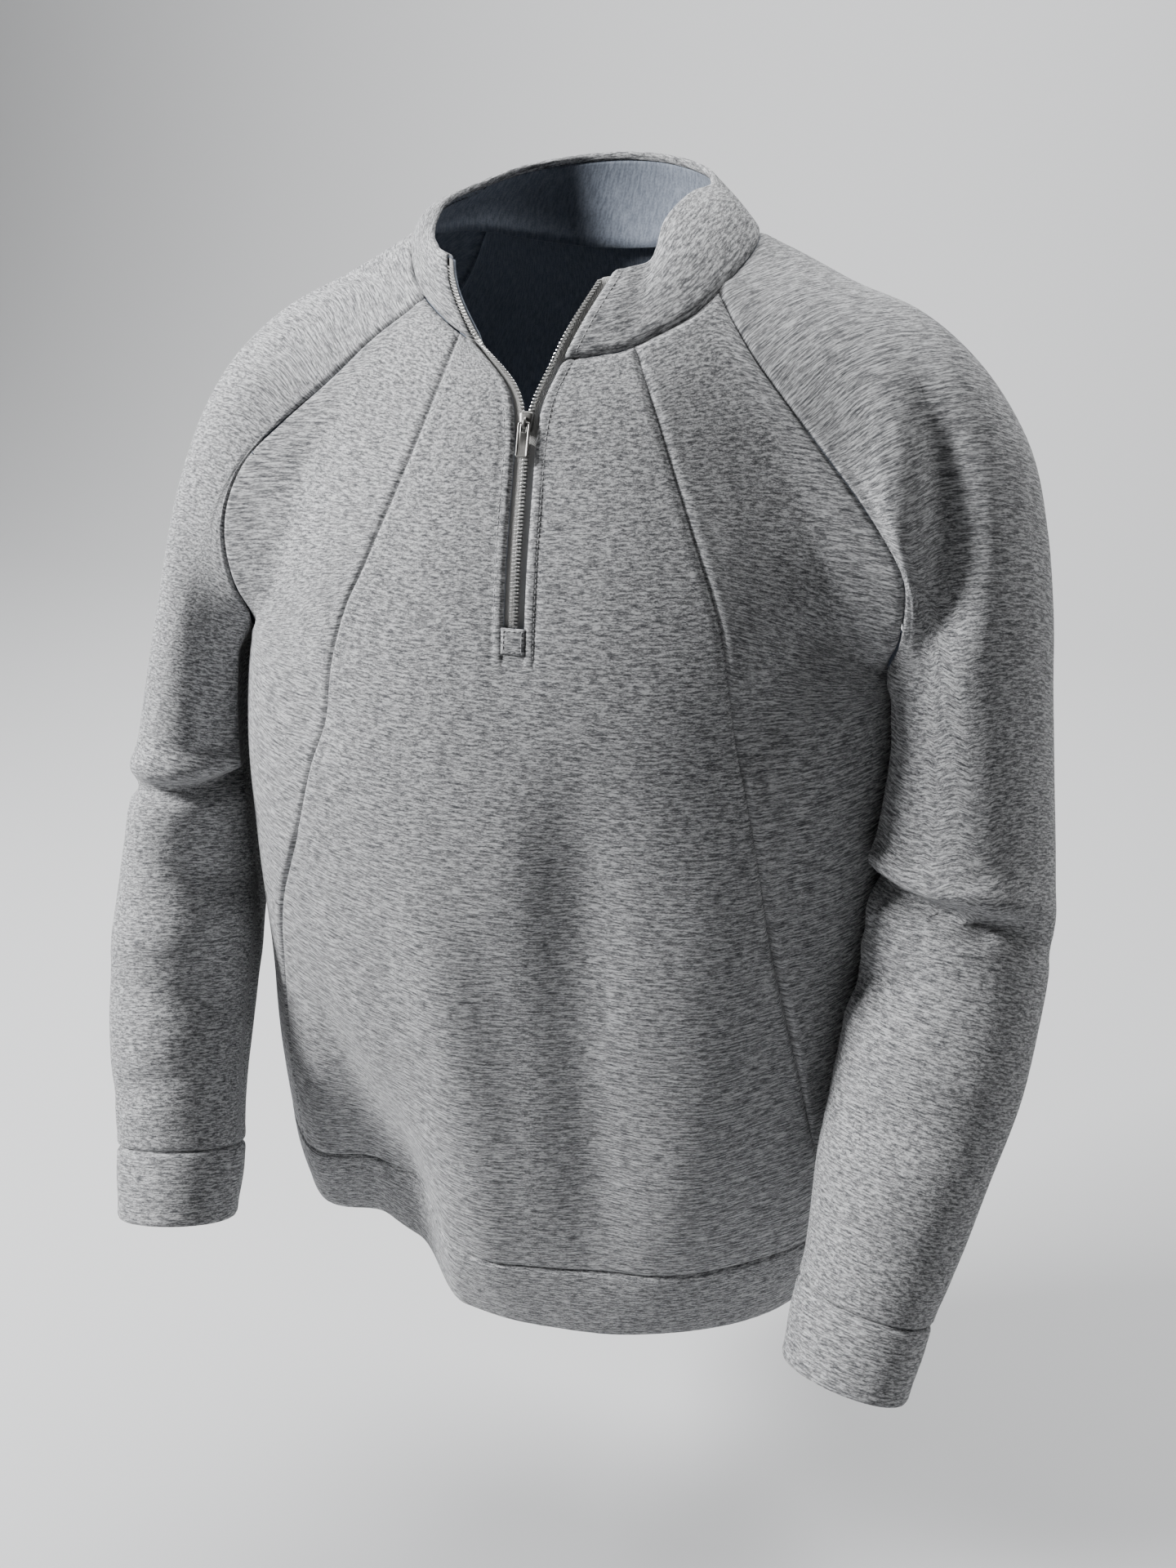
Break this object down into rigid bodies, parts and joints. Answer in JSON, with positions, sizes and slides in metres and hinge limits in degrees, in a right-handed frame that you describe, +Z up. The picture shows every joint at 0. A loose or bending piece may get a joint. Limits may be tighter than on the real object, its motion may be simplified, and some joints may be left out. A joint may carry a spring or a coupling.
{
  "type": "stand-collar half-zip sweatshirt",
  "caption": "Stand-collar half-zip raglan sweatshirt in worn shape: princess-seamed body, ribless hem band and cuffs, open neck with a metal zip, slider and hinged pull tab.",
  "frame": {"origin": "inside the neck, midway between the shoulders and about level with the shoulder line, where the wearer's shoulders hold the garment up", "axes": "+Z up along the wearer's trunk, +X to the wearer's left, -Y out of the front"},
  "size_m": [0.6192, 0.3381, 0.7421],
  "materials": {
    "heather_cloth": "matte grey heather double-faced knit",
    "facing_cloth": "matte blue-grey inner face of the knit",
    "zip_tape": "light grey woven tape with a row of metal teeth",
    "brushed_nickel": "brushed nickel plate"
  },
  "bodies": {
    "garment": {"front_panel_low_right": "heather_cloth", "front_panel_low_left": "heather_cloth", "front_panel_chest_right": "heather_cloth", "front_panel_chest_left": "heather_cloth", "front_panel_zip": "heather_cloth", "side_front_left_low": "heather_cloth", "side_front_left_chest": "heather_cloth", "side_front_left_shoulder": "heather_cloth", "side_front_right_low": "heather_cloth", "side_front_right_chest": "heather_cloth", "side_front_right_shoulder": "heather_cloth", "back_panel": "heather_cloth", "hem_band": "heather_cloth", "sleeve_left_cap": "heather_cloth", "sleeve_left_upper": "heather_cloth", "sleeve_left_elbow": "heather_cloth", "sleeve_left_forearm": "heather_cloth", "sleeve_right_cap": "heather_cloth", "sleeve_right_upper": "heather_cloth", "sleeve_right_elbow": "heather_cloth", "sleeve_right_forearm": "heather_cloth", "cuff_left": "heather_cloth", "cuff_right": "heather_cloth", "collar": "heather_cloth", "zip_end_patch": "heather_cloth", "collar_facing": "facing_cloth", "zip_facing_left": "facing_cloth", "zip_facing_right": "facing_cloth", "zip_tape_left": "zip_tape", "zip_tape_right": "zip_tape", "zip_slider": "brushed_nickel"},
    "pull_tab": {"zip_pull": "brushed_nickel"}
  },
  "joints": [
    {"name": "pull_tab_hinge", "type": "hinge", "parent": "garment", "child": "pull_tab", "pos_m": [0, -0.12182, -0.07645], "axis": [-1, 0, 0], "range_deg": [0, 150]}
  ]
}
